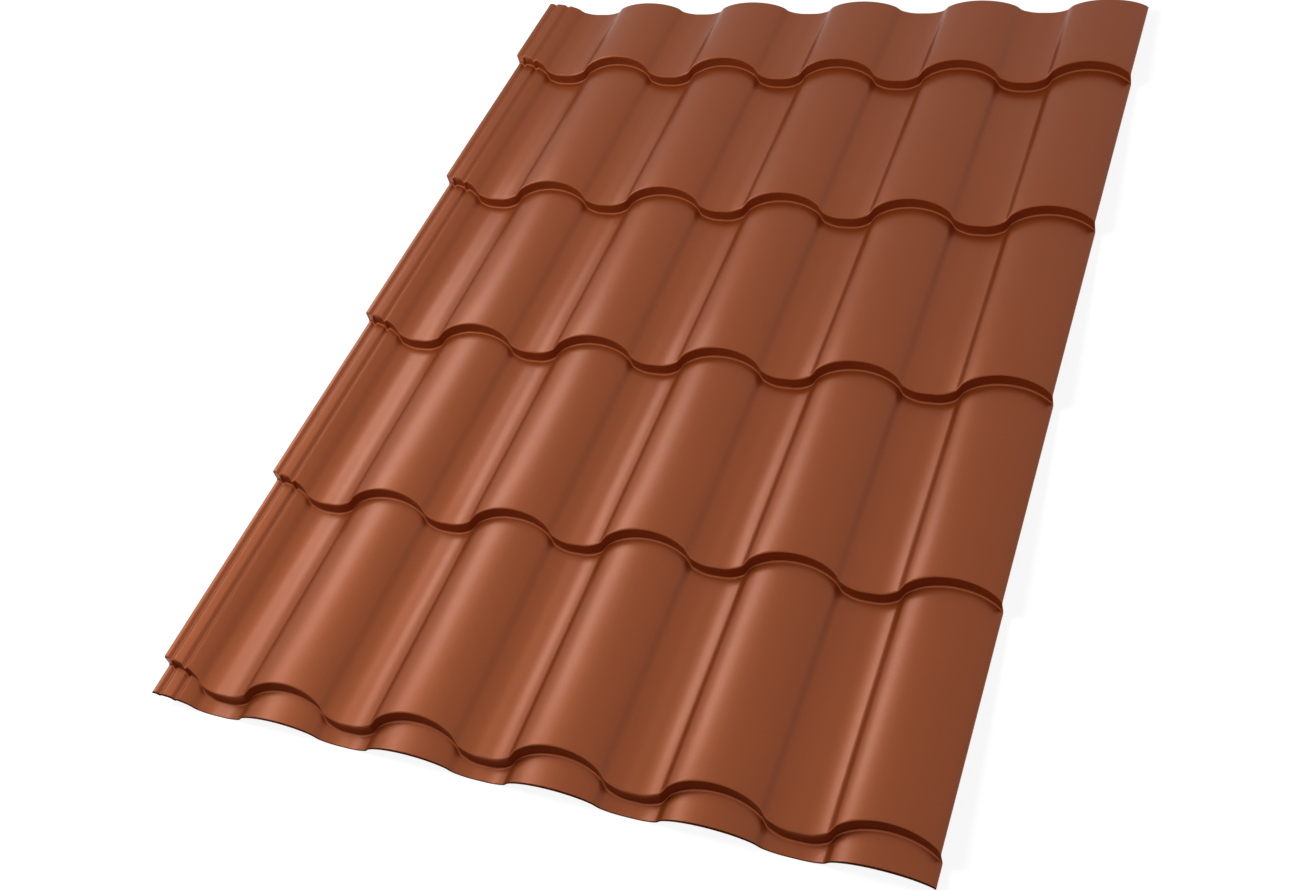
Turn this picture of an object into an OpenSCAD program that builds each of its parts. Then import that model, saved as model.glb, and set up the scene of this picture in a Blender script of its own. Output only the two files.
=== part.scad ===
// Pressed roofing sheet in coated steel. Waves run up the slope and moulded
// steps cross them, so one skin looks like rows of tiles. The sheet lies with
// its waves along Y, its front edge towards -Y, and rests on its troughs.

/* [Waves] */
// Distance from one wave crest to the next, mm
pitch = 230; // [215:1:245]
// Whole waves covered by the sheet
wave_count = 5; // [3:1:6]
// Height of a crest over a trough, mm
wave_height = 28; // [24:0.5:34]
// Half the width of the ellipse that the broad crest follows, mm
crest_half = 79; // [76:0.5:90]
// Half the height of that ellipse, mm
crest_rise = 32; // [26:0.5:38]
// Width of the flat floor of the trough, mm
floor_width = 16; // [4:0.5:24]
// Radius that the trough turns up with on either side of its floor, mm
trough_radius = 92; // [80:1:130]
// Distance from a crest line to the middle of its steep flank, mm
flank_at = 70.5; // [68:0.5:73]
// Width over which the crest turns into the trough, mm
flank_run = 14; // [10:0.5:18]

/* [Steps] */
// Tile rows marked by pressed steps
step_count = 5; // [2:1:6]
// Distance from one step to the next along the sheet, mm
step_spacing = 350; // [300:5:400]
// Height of each step, mm
step_height = 20; // [14:0.5:25]
// Angle by which a step line falls back from trough to crest, degrees
line_lean = 44; // [30:1:50]
// Angle of the riser back from upright, degrees
riser_lean = 11; // [6:1:20]
// Radius at the foot of the riser, mm
foot_radius = 4; // [3:0.5:7]
// Radius on the upper edge of the riser, mm
brow_radius = 5; // [3:0.5:7]

/* [Sheet] */
// Steel with its coating, mm
sheet_thickness = 0.5; // [0.4:0.05:0.8]
// Length of the strip in front of the first step, mm
front_strip = 35.6; // [30:0.1:80]
// Length of the course behind the last step, mm
back_course = 193.5; // [80:0.5:350]
// Reach of the right edge down the flank of the last wave, mm
edge_reach = 5.2; // [2:0.1:12]

/* [Side lap] */
// Flat top of the raised lip on the left edge, mm
lip_width = 5; // [3:0.5:5.5]
// Height of the lip over the crest, mm
lip_rise = 0.5; // [0:0.1:3]
// Width over which the lip falls into the first groove, mm
lip_fall = 4; // [3:0.5:8]
// Distance of the first drain groove from the left edge, mm
groove_1_at = 13; // [12:0.5:16]
// Width of the first drain groove, mm
groove_1_width = 12; // [8:0.5:12]
// Depth of the first drain groove, mm
groove_1_depth = 2.5; // [1:0.1:4]
// Distance of the second drain groove from the left edge, mm
groove_2_at = 40; // [34:0.5:44]
// Width of the second drain groove, mm
groove_2_width = 13; // [8:0.5:16]
// Depth of the second drain groove, mm
groove_2_depth = 3.6; // [1:0.1:5]

/* [Hidden] */
coat_colour = [0.56, 0.29, 0.2];

// Facets across the crest, each flank and each side of the trough, and round
// the two bends of a step
crest_facets = 6;
flank_facets = 3;
trough_facets = 2;
foot_facets = 2;
brow_facets = 2;

// Distances from a crest line: where the flank starts, where it ends, where the
// floor starts
shoulder = flank_at - flank_run / 2;
hollow = flank_at + flank_run / 2;
floor_at = (pitch - floor_width) / 2;
side_lap = shoulder + edge_reach;
sheet_width = wave_count * pitch + side_lap;
run_length = front_strip + (step_count - 1) * step_spacing + back_course;
tilt = atan(step_height / step_spacing);
bend = 90 - riser_lean;

function clamp(t) = min(1, max(0, t));
function ease(t) = let (c = clamp(t)) c * c * (3 - 2 * c);
function spread(from, to, n) = [for (i = [0:n - 1]) from + (to - from) * i / n];

// Wave section. The left edge runs along a crest, and x is measured from it.
function from_crest(x) = abs(x - pitch * round(x / pitch));
function arc_drop(radius, d) = radius * (1 - sqrt(max(0, 1 - pow(d / radius, 2))));
function crest_arc(d) = wave_height - arc_drop(crest_half, d) * crest_rise / crest_half;
function trough_arc(d) = arc_drop(trough_radius, max(0, floor_at - d));
function wave(x) =
    let (d = from_crest(x), part = ease((d - shoulder) / flank_run))
    crest_arc(d) * (1 - part) + trough_arc(d) * part;

// Raised lip and drain grooves of the covered edge
function lip(x) = lip_rise * (1 - ease((x - lip_width) / lip_fall));
function groove(x, at, width, depth) =
    abs(x - at) < width / 2 ? -depth * (1 + cos(360 * (x - at) / width)) / 2 : 0;
function section(x) =
    wave(x) + lip(x) + groove(x, groove_1_at, groove_1_width, groove_1_depth)
    + groove(x, groove_2_at, groove_2_width, groove_2_depth);

// Places across the sheet where the section is taken
function groove_stations(at, width) = [for (f = [-0.5:0.25:0.5]) at + f * width];
function wave_stations(crest, next) = [
    each spread(crest + shoulder, crest + hollow, flank_facets),
    each spread(crest + hollow, crest + floor_at, trough_facets),
    crest + floor_at,
    each spread(next - floor_at, next - hollow, trough_facets),
    each spread(next - hollow, next - shoulder, flank_facets),
    each spread(next - shoulder, next + shoulder, crest_facets)
];
ridge_middle = (groove_1_at + groove_2_at) / 2;
stations = [
    0,
    lip_width,
    each groove_stations(groove_1_at, groove_1_width),
    ridge_middle,
    each groove_stations(groove_2_at, groove_2_width),
    for (w = [0:wave_count - 1]) each wave_stations(w * pitch, (w + 1) * pitch),
    each spread(wave_count * pitch + shoulder, sheet_width, 2),
    sheet_width
];

// Outline of one step from its foot corner: [along the sheet, up]
function bend_points(radius, facets, turn) = [
    for (i = [0:facets])
        let (a = bend * i / facets)
        turn > 0 ? [radius * sin(a), radius * (1 - cos(a))]
                 : [-radius * sin(bend - a), -radius * (1 - cos(bend - a))]
];
foot_back = foot_radius * tan(bend / 2);
brow_back = brow_radius * tan(bend / 2);
riser_back = step_height * tan(riser_lean);
step_outline = [
    for (p = bend_points(foot_radius, foot_facets, 1)) [p[0] - foot_back, p[1]],
    for (p = bend_points(brow_radius, brow_facets, -1))
        [riser_back + brow_back + p[0], step_height + p[1]]
];

// One row of points across the sheet. The share says how far the row follows
// the leaning step line: the two cut ends are straight.
function row(along, up, share) = [
    for (x = stations)
        let (z = section(x))
        [x, along + share * tan(line_lean) * (z - wave_height / 2), z + up]
];
rows = [
    row(0, 0, 0),
    for (k = [0:step_count - 1])
        for (p = step_outline)
            row(front_strip + k * step_spacing + p[0], k * step_height + p[1], 1),
    row(run_length, step_count * step_height, 0)
];
row_last = len(rows) - 1;
station_last = len(stations) - 1;

// Skin offset square to the surface, by differences between neighbours. The two
// long edges are trimmed upright.
function across(r, c) =
    rows[r][min(c + 1, station_last)] - rows[r][max(c - 1, 0)];
function up_sheet(r, c) =
    rows[min(r + 1, row_last)][c] - rows[max(r - 1, 0)][c];
function square_to(v) = v / norm(v);
function under(r, c) =
    let (p = rows[r][c] - sheet_thickness * square_to(cross(across(r, c), up_sheet(r, c))))
    c == 0 || c == station_last ? [stations[c], p[1], p[2]] : p;

upper = [for (r = [0:row_last]) for (c = [0:station_last]) rows[r][c]];
lower = [for (r = [0:row_last]) for (c = [0:station_last]) under(r, c)];

// The sheet laid down: each course dips by the tilt, so every step comes back
// to the same level and the troughs at the step feet carry the sheet.
function laid(p) = [p[0], p[1] * cos(tilt) + p[2] * sin(tilt), p[2] * cos(tilt) - p[1] * sin(tilt)];
skin_points = [for (p = concat(upper, lower)) laid(p)];
function low(axis) = min([for (p = skin_points) p[axis]]);
function middle(axis) = (low(axis) + max([for (p = skin_points) p[axis]])) / 2;

function index(r, c) = r * (station_last + 1) + c;
size = len(upper);
skin_faces = [
    for (r = [0:row_last - 1])
        for (c = [0:station_last - 1])
            let (a = index(r, c), b = index(r, c + 1), e = index(r + 1, c + 1), d = index(r + 1, c))
            each [[a, e, b], [a, d, e], [size + a, size + b, size + e], [size + a, size + e, size + d]]
];
end_faces = [
    for (c = [0:station_last - 1])
        let (a = index(0, c), b = index(0, c + 1), d = index(row_last, c), e = index(row_last, c + 1))
        each [[a, b, size + b], [a, size + b, size + a], [d, size + e, e], [d, size + d, size + e]]
];
side_faces = [
    for (r = [0:row_last - 1])
        let (a = index(r, 0), d = index(r + 1, 0), b = index(r, station_last), e = index(r + 1, station_last))
        each [[a, size + d, d], [a, size + a, size + d], [b, e, size + e], [b, size + e, size + b]]
];

module roofing_sheet() {
    color(coat_colour)
        translate([-middle(0), -middle(1), -low(2)])
            polyhedron(
                points = skin_points,
                faces = concat(skin_faces, end_faces, side_faces),
                convexity = 10
            );
}

roofing_sheet();
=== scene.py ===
import math

import bpy
import numpy as np
from mathutils import Matrix, Vector


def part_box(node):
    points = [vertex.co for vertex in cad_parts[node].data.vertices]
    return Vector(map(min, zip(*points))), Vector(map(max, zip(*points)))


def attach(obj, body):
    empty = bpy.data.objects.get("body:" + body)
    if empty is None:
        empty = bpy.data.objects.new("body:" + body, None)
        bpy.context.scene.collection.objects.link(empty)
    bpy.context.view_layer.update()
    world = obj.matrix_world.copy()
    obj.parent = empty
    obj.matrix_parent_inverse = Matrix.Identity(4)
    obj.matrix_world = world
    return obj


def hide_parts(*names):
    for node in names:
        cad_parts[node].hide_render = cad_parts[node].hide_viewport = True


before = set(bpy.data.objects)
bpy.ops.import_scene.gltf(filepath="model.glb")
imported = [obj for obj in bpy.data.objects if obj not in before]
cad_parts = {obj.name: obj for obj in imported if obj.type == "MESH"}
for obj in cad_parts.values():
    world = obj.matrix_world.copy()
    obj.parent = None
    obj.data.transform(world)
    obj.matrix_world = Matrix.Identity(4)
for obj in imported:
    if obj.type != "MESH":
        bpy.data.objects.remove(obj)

NODE = "roofing_sheet"
BOX_LOW, BOX_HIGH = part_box(NODE)
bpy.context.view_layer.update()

MM = 0.001

# Waves
PITCH = 230 * MM
WAVE_COUNT = 5
WAVE_HEIGHT = 28 * MM
CREST_HALF = 79 * MM
CREST_RISE = 32 * MM
FLOOR_WIDTH = 16 * MM
TROUGH_RADIUS = 92 * MM
FLANK_AT = 70.5 * MM
FLANK_RUN = 14 * MM

# Distances from a crest line: where the flank starts, where the floor starts
SHOULDER = FLANK_AT - FLANK_RUN / 2
FLOOR_AT = (PITCH - FLOOR_WIDTH) / 2

# Steps
STEP_COUNT = 5
STEP_SPACING = 350 * MM
STEP_HEIGHT = 20 * MM
LINE_LEAN = math.radians(44)
RISER_LEAN = math.radians(4)
FOOT_RADIUS = 3.5 * MM
BROW_RADIUS = 3.5 * MM

# Sheet
THICKNESS = 0.5 * MM
WIDTH = BOX_HIGH.x - BOX_LOW.x
FRONT_STRIP = 36.8 * MM
BACK_COURSE = 192.3 * MM
RUN = FRONT_STRIP + (STEP_COUNT - 1) * STEP_SPACING + BACK_COURSE
TILT = math.atan(STEP_HEIGHT / STEP_SPACING)

# Width of the band of painted shade along the front edge, a dark line on the top that
# stands in for the shade at the edge
PAINTED_SHADE_BAND = 2 * MM

# Side lap on the left edge
LIP_WIDTH = 5 * MM
LIP_RISE = 0.5 * MM
LIP_FALL = 4 * MM
GROOVES = [
    {"at": 13 * MM, "width": 12 * MM, "depth": 2.5 * MM},
    {"at": 40 * MM, "width": 13 * MM, "depth": 3.6 * MM},
]

# Facets: spacing across the side lap and the half crest after it, counts over
# the parts of a wave, the points of a bend, and the rows along a course
LAP_SPACING = 1 * MM
HALF_CREST_SPACING = 4 * MM
FLANK_FACETS = 8
TROUGH_FACETS = 8
FLOOR_FACETS = 4
CREST_FACETS = 26
EDGE_POINTS = 5
BEND_POINTS = 9
COURSE_ROWS = 4

# Where the rows that follow a step line end, short of the next step and of the
# back edge
STEP_MARGIN = 20 * MM
BACK_MARGIN = 30 * MM

# Edges sharper than this are shaded as edges
SMOOTH_ANGLE = math.radians(50)

# Material slots of the sheet; the edge slot carries painted shade
TOP, BACK, EDGE_PAINTED_SHADE = 0, 1, 2


def ease(t):
    t = np.clip(t, 0, 1)
    return t * t * (3 - 2 * t)


def arc_drop(radius, d):
    return radius * (1 - np.sqrt(np.clip(1 - (d / radius) ** 2, 0, None)))


def section(x):
    """Height of the skin at distance x from the left edge, which is on a crest."""
    d = np.abs(x - PITCH * np.round(x / PITCH))
    crest = WAVE_HEIGHT - arc_drop(CREST_HALF, d) * CREST_RISE / CREST_HALF
    trough = arc_drop(TROUGH_RADIUS, np.maximum(0, FLOOR_AT - d))
    part = ease((d - SHOULDER) / FLANK_RUN)
    z = crest * (1 - part) + trough * part
    z = z + LIP_RISE * (1 - ease((x - LIP_WIDTH) / LIP_FALL))
    for groove in GROOVES:
        off = np.clip((x - groove["at"]) / groove["width"], -0.5, 0.5)
        z = z - groove["depth"] * (1 + np.cos(2 * math.pi * off)) / 2
    return z


def stations():
    """Places across the sheet: close together on the side lap and the flanks."""
    lap_end = GROOVES[-1]["at"] + GROOVES[-1]["width"] / 2
    places = [
        np.arange(0, lap_end, LAP_SPACING),
        np.arange(lap_end, SHOULDER, HALF_CREST_SPACING),
    ]
    for w in range(WAVE_COUNT):
        crest, after = w * PITCH, (w + 1) * PITCH
        marks = [
            (crest + SHOULDER, crest + SHOULDER + FLANK_RUN, FLANK_FACETS),
            (crest + SHOULDER + FLANK_RUN, crest + FLOOR_AT, TROUGH_FACETS),
            (crest + FLOOR_AT, after - FLOOR_AT, FLOOR_FACETS),
            (after - FLOOR_AT, after - SHOULDER - FLANK_RUN, TROUGH_FACETS),
            (after - SHOULDER - FLANK_RUN, after - SHOULDER, FLANK_FACETS),
            (after - SHOULDER, after + SHOULDER, CREST_FACETS),
        ]
        places += [np.linspace(a, b, n, endpoint=False) for a, b, n in marks]
    places.append(np.linspace(WAVE_COUNT * PITCH + SHOULDER, WIDTH, EDGE_POINTS))
    return np.concatenate(places)


def step_outline():
    """One step from its foot corner, as (along, up) pairs: a bend, the riser, a bend."""
    bend = math.pi / 2 - RISER_LEAN
    foot_back = FOOT_RADIUS * math.tan(bend / 2)
    brow_back = BROW_RADIUS * math.tan(bend / 2)
    riser_back = STEP_HEIGHT * math.tan(RISER_LEAN)
    turn = np.linspace(0, bend, BEND_POINTS)
    foot = [
        (
            FOOT_RADIUS * math.sin(a) - foot_back,
            FOOT_RADIUS * (1 - math.cos(a)),
        )
        for a in turn
    ]
    brow = [
        (
            riser_back + brow_back - BROW_RADIUS * math.sin(bend - a),
            STEP_HEIGHT - BROW_RADIUS * (1 - math.cos(bend - a)),
        )
        for a in turn
    ]
    return foot + brow


def row_marks():
    """Every row of the loft as (along, up, share).

    A row with share 1 follows the leaning step line. The two cut ends are
    straight and have share 0.
    """
    first_foot = FRONT_STRIP + step_outline()[0][0]
    # The second row ends the band of painted shade along the front edge
    marks = [(0, 0, 0), (PAINTED_SHADE_BAND, 0, PAINTED_SHADE_BAND / first_foot)]
    for k in range(STEP_COUNT):
        foot = FRONT_STRIP + k * STEP_SPACING
        marks += [(foot + along, k * STEP_HEIGHT + up, 1) for along, up in step_outline()]
        after = marks[-1][0]
        last = k == STEP_COUNT - 1
        end = RUN - BACK_MARGIN if last else foot + STEP_SPACING - STEP_MARGIN
        course = np.linspace(after, end, COURSE_ROWS + 1)[1:]
        marks += [(along, (k + 1) * STEP_HEIGHT, 1) for along in course]
    marks.append((RUN, STEP_COUNT * STEP_HEIGHT, 0))
    return marks


def laid(points):
    """Dips each course by the tilt, so that every step comes back to one level."""
    x, y, z = points[..., 0], points[..., 1], points[..., 2]
    along = y * math.cos(TILT) + z * math.sin(TILT)
    up = z * math.cos(TILT) - y * math.sin(TILT)
    return np.stack([x, along, up], -1)


def loft():
    """Upper and lower skin points, [row, station], laid down."""
    x = stations()
    z = section(x)
    lean = math.tan(LINE_LEAN) * (z - WAVE_HEIGHT / 2)
    rows = [
        np.stack([x, along + share * lean, z + up], -1)
        for along, up, share in row_marks()
    ]
    upper = np.array(rows)
    square = np.cross(np.gradient(upper, axis=1), np.gradient(upper, axis=0))
    square /= np.linalg.norm(square, axis=-1, keepdims=True)
    lower = upper - THICKNESS * square
    lower[:, 0, 0], lower[:, -1, 0] = x[0], x[-1]
    return laid(upper), laid(lower)


def settled(upper, lower):
    """Both skins moved into the CAD node's box."""
    both = np.concatenate([upper.reshape(-1, 3), lower.reshape(-1, 3)])
    low, high = both.min(0), both.max(0)
    box_low, box_high = np.array(BOX_LOW), np.array(BOX_HIGH)
    shift = (box_low + box_high - low - high) / 2
    shift[2] = box_low[2] - low[2]
    return [np.clip(skin + shift, box_low, box_high) for skin in (upper, lower)]


def sheet_mesh():
    upper, lower = settled(*loft())
    rows, cols = upper.shape[:2]
    count = rows * cols
    index = np.arange(count).reshape(rows, cols)
    a, b, c, d = index[:-1, :-1], index[:-1, 1:], index[1:, 1:], index[1:, :-1]
    top = np.stack([a, b, c, d], -1).reshape(-1, 4)
    back = np.stack([d, c, b, a], -1).reshape(-1, 4) + count
    rim = np.concatenate([index[0], index[1:, -1], index[-1, -2::-1], index[-2:0:-1, 0]])
    after = np.roll(rim, -1)
    edge = np.stack([after, rim, rim + count, after + count], -1)
    quads = np.concatenate([top, back, edge])
    slots = np.repeat([TOP, BACK, EDGE_PAINTED_SHADE], [len(top), len(back), len(edge)])
    # The first row of the top is the band of painted shade along the front edge
    slots[: cols - 1] = EDGE_PAINTED_SHADE
    mesh = bpy.data.meshes.new("pressed_sheet")
    points = np.concatenate([upper.reshape(-1, 3), lower.reshape(-1, 3)])
    mesh.from_pydata(points.tolist(), [], quads.tolist())
    mesh.polygons.foreach_set("material_index", slots.astype(np.int32))
    mesh.polygons.foreach_set("use_smooth", np.ones(len(quads), bool))
    mesh.set_sharp_from_angle(angle=SMOOTH_ANGLE)
    mesh.validate()
    mesh.update()
    return mesh


def grey(level):
    return (level, level, level, 1)


def new_material(name):
    material = bpy.data.materials.new(name)
    material.use_nodes = True
    return material, material.node_tree, material.node_tree.nodes["Principled BSDF"]


def noise(tree, scale):
    """Noise that stays fixed to the object. The scale is in cycles per metre."""
    place = tree.nodes.new("ShaderNodeTexCoord")
    node = tree.nodes.new("ShaderNodeTexNoise")
    node.inputs["Scale"].default_value = scale
    node.inputs["Detail"].default_value = 3.0
    tree.links.new(place.outputs["Object"], node.inputs["Vector"])
    return node


def ramp(tree, source, low, high):
    """Turns noise into a value or colour between low and high."""
    node = tree.nodes.new("ShaderNodeValToRGB")
    start, end = node.color_ramp.elements
    start.position, end.position = 0.3, 0.7
    start.color, end.color = low, high
    tree.links.new(source.outputs["Fac"], node.inputs["Fac"])
    return node


def top_coat():
    """Satin reddish-brown weather coat."""
    material, tree, shader = new_material("top_coat")
    darker, lighter = (0.332, 0.0695, 0.0122, 1), (0.342, 0.0716, 0.0128, 1)
    shade = ramp(tree, noise(tree, 9.0), darker, lighter)
    tree.links.new(shade.outputs["Color"], shader.inputs["Base Color"])
    rough = ramp(tree, noise(tree, 60.0), grey(0.35), grey(0.39))
    tree.links.new(rough.outputs["Color"], shader.inputs["Roughness"])
    shader.inputs["Metallic"].default_value = 0.6
    shader.inputs["Specular IOR Level"].default_value = 0.0
    shader.inputs["Specular Tint"].default_value = grey(0.5)
    shader.inputs["Coat Weight"].default_value = 0.6
    shader.inputs["Coat Roughness"].default_value = 0.27
    peel = tree.nodes.new("ShaderNodeBump")
    peel.inputs["Strength"].default_value = 0.03
    peel.inputs["Distance"].default_value = 0.2 * MM
    tree.links.new(noise(tree, 700.0).outputs["Fac"], peel.inputs["Height"])
    tree.links.new(peel.outputs["Normal"], shader.inputs["Normal"])
    return material


def backing_coat():
    """Pale grey primer on the underside."""
    material, tree, shader = new_material("backing_coat")
    darker, lighter = (0.42, 0.42, 0.40, 1), (0.47, 0.47, 0.45, 1)
    shade = ramp(tree, noise(tree, 14.0), darker, lighter)
    tree.links.new(shade.outputs["Color"], shader.inputs["Base Color"])
    shader.inputs["Roughness"].default_value = 0.6
    return material


def painted_edge_shade():
    """Dark brown painted shade on the cut edges and on the band along the front edge."""
    material, tree, shader = new_material("painted_edge_shade")
    # Painted shade: this dark brown stands in for the shade along the edges
    darker, lighter = (0.052, 0.012, 0.004, 1), (0.082, 0.021, 0.008, 1)
    shade = ramp(tree, noise(tree, 900.0), darker, lighter)
    tree.links.new(shade.outputs["Color"], shader.inputs["Base Color"])
    shader.inputs["Roughness"].default_value = 0.6
    shader.inputs["Specular IOR Level"].default_value = 0.0
    return material


def add_object(name, data):
    thing = bpy.data.objects.new(name, data)
    bpy.context.scene.collection.objects.link(thing)
    return thing


def make_sheet():
    mesh = sheet_mesh()
    # In the order of TOP, BACK and EDGE_PAINTED_SHADE
    for material in (top_coat(), backing_coat(), painted_edge_shade()):
        mesh.materials.append(material)
    piece = add_object("pressed_sheet", mesh)
    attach(piece, "root")
    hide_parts(NODE)


def seen_directly(nodes, links):
    """1 for what the camera sees, also in a reflection or through glass, else 0."""
    path = nodes.new("ShaderNodeLightPath")
    mirrored = nodes.new("ShaderNodeMath")
    links.new(path.outputs["Is Camera Ray"], mirrored.inputs[0])
    links.new(path.outputs["Is Glossy Ray"], mirrored.inputs[1])
    total = nodes.new("ShaderNodeMath")
    total.use_clamp = True
    links.new(mirrored.outputs[0], total.inputs[0])
    links.new(path.outputs["Is Transmission Ray"], total.inputs[1])
    return total.outputs[0]


def floor_paint():
    """Matt grey that also glows to the eye, so it reads white but keeps a shadow."""
    material, tree, shader = new_material("floor_paint")
    nodes, links = tree.nodes, tree.links
    shader.inputs["Base Color"].default_value = grey(0.35)
    shader.inputs["Roughness"].default_value = 1.0
    shader.inputs["Specular IOR Level"].default_value = 0.0
    glow = nodes.new("ShaderNodeEmission")
    glow.inputs["Strength"].default_value = 0.9
    none = nodes.new("ShaderNodeEmission")
    none.inputs["Strength"].default_value = 0.0
    seen = nodes.new("ShaderNodeMixShader")
    both = nodes.new("ShaderNodeAddShader")
    links.new(seen_directly(nodes, links), seen.inputs[0])
    links.new(none.outputs[0], seen.inputs[1])
    links.new(glow.outputs[0], seen.inputs[2])
    links.new(shader.outputs[0], both.inputs[0])
    links.new(seen.outputs[0], both.inputs[1])
    links.new(both.outputs[0], nodes["Material Output"].inputs["Surface"])
    return material


def make_floor():
    half = 15.0
    corners = [(-half, -half, 0), (half, -half, 0), (half, half, 0), (-half, half, 0)]
    mesh = bpy.data.meshes.new("floor")
    mesh.from_pydata(corners, [], [(0, 1, 2, 3)])
    mesh.materials.append(floor_paint())
    add_object("floor", mesh)


def make_world():
    """Pale grey to the eye and in reflections, and a dim even room for the light."""
    world = bpy.data.worlds.new("room")
    world.use_nodes = True
    bpy.context.scene.world = world
    nodes, links = world.node_tree.nodes, world.node_tree.links
    room = nodes["Background"]
    room.inputs["Color"].default_value = grey(1)
    room.inputs["Strength"].default_value = 0.1
    pale = nodes.new("ShaderNodeBackground")
    pale.inputs["Color"].default_value = grey(0.8)
    pale.inputs["Strength"].default_value = 1.0
    mix = nodes.new("ShaderNodeMixShader")
    links.new(seen_directly(nodes, links), mix.inputs[0])
    links.new(room.outputs[0], mix.inputs[1])
    links.new(pale.outputs[0], mix.inputs[2])
    links.new(mix.outputs[0], nodes["World Output"].inputs["Surface"])


def softbox(name, azimuth, elevation, distance, width, height, level):
    """Area light aimed at the middle of the sheet.

    The azimuth is from +Y towards +X, in degrees like the elevation. The level
    is the brightness of a white matt card that faces the lamp.
    """
    light = bpy.data.lights.new(name, "AREA")
    light.shape = "RECTANGLE"
    light.size, light.size_y = width, height
    light.energy = level * (math.pi * distance) ** 2
    lamp = add_object(name, light)
    a, e = math.radians(azimuth), math.radians(elevation)
    out = Vector((math.sin(a) * math.cos(e), math.cos(a) * math.cos(e), math.sin(e)))
    lamp.location = out * distance
    lamp.rotation_mode = "QUATERNION"
    lamp.rotation_quaternion = out.to_track_quat("Z", "Y")
    return lamp


def make_lights():
    """A soft fill for the matt share of the coat, and three strips for its sheen.

    The strips fall in elevation from the left to the back, so that each crest
    has its highlight where the photograph has it.
    """
    fill = softbox("left_fill", -103, 53, 2.5, 1.2, 1.2, 0.7)
    fill.visible_glossy = False
    strips = [
        ("left_strip", -96, 44, 0.050),
        ("middle_strip", -76, 39, 0.053),
        ("back_strip", -56, 34, 0.086),
    ]
    for name, azimuth, elevation, level in strips:
        strip = softbox(name, azimuth, elevation, 5.0, 1.8, 1.2, level)
        strip.visible_diffuse = False
        strip.data.color = (0.81, 1.12, 1.32)


def make_flag():
    """Black card lying in front of the sheet, turned up at its far end.

    Only reflections see it. It keeps the risers dark.
    """
    left, right = -9.0, 2.5
    near, far = -0.84, -6.0
    lying, top = 0.002, 2.2
    line = [(near, lying), (far, lying), (far, top)]
    points = [(x, y, z) for y, z in line for x in (left, right)]
    mesh = bpy.data.meshes.new("flag")
    mesh.from_pydata(points, [], [(0, 1, 3, 2), (2, 3, 5, 4)])
    material, _, shader = new_material("flag_cloth")
    shader.inputs["Base Color"].default_value = grey(0.01)
    shader.inputs["Specular IOR Level"].default_value = 0.0
    mesh.materials.append(material)
    flag = add_object("flag", mesh)
    flag.visible_camera = False
    flag.visible_diffuse = False
    flag.visible_shadow = False


def make_camera():
    """Looks down over the right front corner, rolled so that the sheet leans."""
    place = Vector((1.0034, -1.4036, 1.7858))
    aim = Vector((-0.0188, -0.0690, 0.0))
    roll = math.radians(-23.254)
    data = bpy.data.cameras.new("camera")
    data.sensor_width = 36.0
    data.lens = 41.137
    data.shift_x = -0.0133
    data.shift_y = -0.0624
    data.clip_start, data.clip_end = 0.05, 60.0
    camera = add_object("camera", data)
    facing = (aim - place).to_track_quat("-Z", "Y").to_matrix()
    turn = facing @ Matrix.Rotation(roll, 3, "Z")
    camera.matrix_world = Matrix.Translation(place) @ turn.to_4x4()
    bpy.context.scene.camera = camera


make_sheet()
make_floor()
make_world()
make_lights()
make_flag()
make_camera()
bpy.context.scene.view_settings.view_transform = "Standard"
